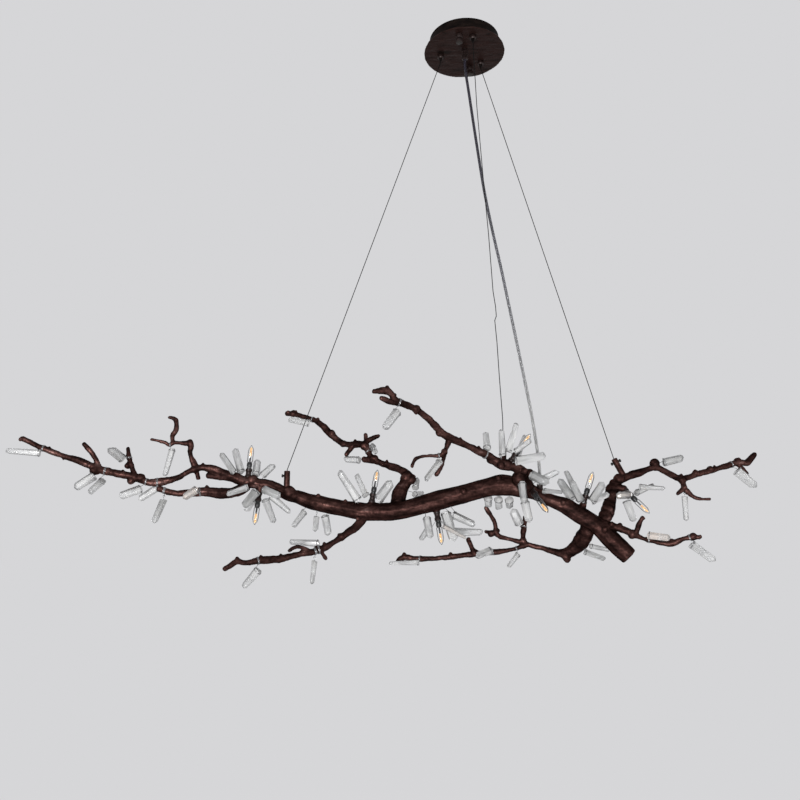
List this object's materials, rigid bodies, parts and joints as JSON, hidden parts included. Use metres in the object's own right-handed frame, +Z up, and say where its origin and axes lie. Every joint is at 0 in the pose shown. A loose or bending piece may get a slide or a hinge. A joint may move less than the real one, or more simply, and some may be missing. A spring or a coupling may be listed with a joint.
{
  "type": "branch chandelier",
  "caption": "Ceiling light: a crooked forged branch hung level on steel cables, with twigs, wired-on quartz points and small capsule lamps.",
  "frame": {"origin": "on the ceiling, at the middle of the canopy", "axes": "+X along the branch towards its sawn end, +Z up, -Y towards a viewer in the room"},
  "size_m": [1.3813, 0.3287, 1.0686],
  "materials": {
    "steel": "zinc plated",
    "canopy": "hammered, satin",
    "fittings": "satin",
    "driver": "matte",
    "terminal": "matte",
    "cable": "twisted strands",
    "cord": "clear sheath over grey cores",
    "screws": "black, satin",
    "socket": "matte",
    "lamp": "clear, lit",
    "wire": "bright drawn wire",
    "quartz": "natural, cloudy",
    "bronze": "forged, bronze-brown, waxed"
  },
  "bodies": {
    "canopy": {"ceiling_bracket": "steel", "bracket_studs": "steel", "canopy_drum": "canopy", "canopy_plate": "canopy", "cord_gland": "fittings", "gland_nut": "steel", "gripper_bodies": "fittings", "lamp_driver": "driver", "terminal_block": "terminal", "cable_a": "cable", "cable_b": "cable", "cable_c": "cable", "power_cord": "cord"},
    "nut_front": {"cap_nut_front": "fittings"},
    "nut_rear": {"cap_nut_rear": "fittings"},
    "nose_a": {"gripper_nose_a": "steel"},
    "nose_b": {"gripper_nose_b": "steel"},
    "nose_c": {"gripper_nose_c": "steel"},
    "screw_a": {"set_screw_a": "screws"},
    "screw_b": {"set_screw_b": "screws"},
    "screw_c": {"set_screw_c": "screws"},
    "screw_d": {"set_screw_d": "screws"},
    "lamp_1": {"bulb_1": "lamp"},
    "lamp_2": {"bulb_2": "lamp"},
    "lamp_3": {"bulb_3": "lamp"},
    "lamp_4": {"bulb_4": "lamp"},
    "lamp_5": {"bulb_5": "lamp"},
    "lamp_6": {"bulb_6": "lamp"},
    "lamp_7": {"bulb_7": "lamp"},
    "lamp_8": {"bulb_8": "lamp"},
    "swing_1": {"drop_crystal_1": "quartz"},
    "swing_2": {"drop_crystal_2": "quartz"},
    "swing_3": {"drop_crystal_3": "quartz"},
    "swing_4": {"drop_crystal_4": "quartz"},
    "fixture": {"trunk": "bronze", "left_branch": "bronze", "lower_left_branch": "bronze", "rear_branch": "bronze", "fore_branch": "bronze", "right_branch": "bronze", "right_twig": "bronze", "lower_right_branch": "bronze", "cable_posts": "bronze", "cord_bush": "bronze", "lamp_holders": "bronze", "lamp_sockets": "socket", "left_crystals": "quartz", "left_cluster": "quartz", "low_left_crystals": "quartz", "rear_crystals": "quartz", "mid_cluster": "quartz", "fore_crystals": "quartz", "low_cluster": "quartz", "top_cluster": "quartz", "neck_cluster": "quartz", "right_cluster": "quartz", "end_cluster": "quartz", "right_crystals": "quartz", "low_right_crystals": "quartz", "crystal_wires": "wire"}
  },
  "joints": [
    {"name": "height_adjust", "type": "slide", "parent": "canopy", "child": "fixture", "axis": [0, 0, 1], "range_m": [0, 0.4], "deforming": ["cable_a", "cable_b", "cable_c", "power_cord"]},
    {"name": "nut_front_turn", "type": "hinge", "parent": "canopy", "child": "nut_front", "pos_m": [-0.01488, -0.06091, -0.039], "axis": [0, 0, 1], "continuous": true},
    {"name": "nut_rear_turn", "type": "hinge", "parent": "canopy", "child": "nut_rear", "pos_m": [0.01488, 0.04291, -0.039], "axis": [0, 0, 1], "continuous": true},
    {"name": "nose_a_release", "type": "slide", "parent": "canopy", "child": "nose_a", "axis": [0, 0, 1], "range_m": [0, 0.003], "stiffness_N_per_m": 400, "springref_m": -0.002},
    {"name": "nose_b_release", "type": "slide", "parent": "canopy", "child": "nose_b", "axis": [0, 0, 1], "range_m": [0, 0.003], "stiffness_N_per_m": 400, "springref_m": -0.002},
    {"name": "nose_c_release", "type": "slide", "parent": "canopy", "child": "nose_c", "axis": [0, 0, 1], "range_m": [0, 0.003], "stiffness_N_per_m": 400, "springref_m": -0.002},
    {"name": "screw_a_turn", "type": "hinge", "parent": "fixture", "child": "screw_a", "pos_m": [-0.336, 0.02, -0.874], "axis": [-1, 0, 0], "continuous": true},
    {"name": "screw_b_turn", "type": "hinge", "parent": "fixture", "child": "screw_b", "pos_m": [0.05201, -0.04933, -0.83651], "axis": [0.2833, 0.9376, -0.2017], "continuous": true},
    {"name": "screw_c_turn", "type": "hinge", "parent": "fixture", "child": "screw_c", "pos_m": [0.2723, 0.03552, -0.84764], "axis": [0.9149, 0.0792, 0.3959], "continuous": true},
    {"name": "screw_d_turn", "type": "hinge", "parent": "fixture", "child": "screw_d", "pos_m": [0.2723, 0.03552, -0.84764], "axis": [-0.9149, -0.0792, -0.3959], "continuous": true},
    {"name": "lamp_1_pull", "type": "slide", "parent": "fixture", "child": "lamp_1", "axis": [0.0895, -0.0597, 0.9942], "range_m": [0, 0.012]},
    {"name": "lamp_2_pull", "type": "slide", "parent": "fixture", "child": "lamp_2", "axis": [-0.0786, -0.1671, -0.9828], "range_m": [0, 0.012]},
    {"name": "lamp_3_pull", "type": "slide", "parent": "fixture", "child": "lamp_3", "axis": [0.1763, -0.098, 0.9795], "range_m": [0, 0.012]},
    {"name": "lamp_4_pull", "type": "slide", "parent": "fixture", "child": "lamp_4", "axis": [0.1377, -0.118, -0.9834], "range_m": [0, 0.012]},
    {"name": "lamp_5_pull", "type": "slide", "parent": "fixture", "child": "lamp_5", "axis": [0.5667, -0.244, 0.787], "range_m": [0, 0.012]},
    {"name": "lamp_6_pull", "type": "slide", "parent": "fixture", "child": "lamp_6", "axis": [0.3818, -0.5727, -0.7254], "range_m": [0, 0.012]},
    {"name": "lamp_7_pull", "type": "slide", "parent": "fixture", "child": "lamp_7", "axis": [0.312, -0.0945, 0.9454], "range_m": [0, 0.012]},
    {"name": "lamp_8_pull", "type": "slide", "parent": "fixture", "child": "lamp_8", "axis": [0.5976, -0.3586, -0.7171], "range_m": [0, 0.012]},
    {"name": "swing_1_turn", "type": "hinge", "parent": "fixture", "child": "swing_1", "pos_m": [-0.54718, -0.02067, -0.91324], "axis": [0, 1, 0], "range_deg": [-20, 20]},
    {"name": "swing_2_turn", "type": "hinge", "parent": "fixture", "child": "swing_2", "pos_m": [-0.27969, 0.01381, -0.94127], "axis": [0, 1, 0], "range_deg": [-20, 20]},
    {"name": "swing_3_turn", "type": "hinge", "parent": "fixture", "child": "swing_3", "pos_m": [-0.27566, -0.04396, -1.01866], "axis": [0, 1, 0], "range_deg": [-20, 20]},
    {"name": "swing_4_turn", "type": "hinge", "parent": "fixture", "child": "swing_4", "pos_m": [0.402, 0.052, -0.90368], "axis": [0, 1, 0], "range_deg": [-20, 20]}
  ]
}
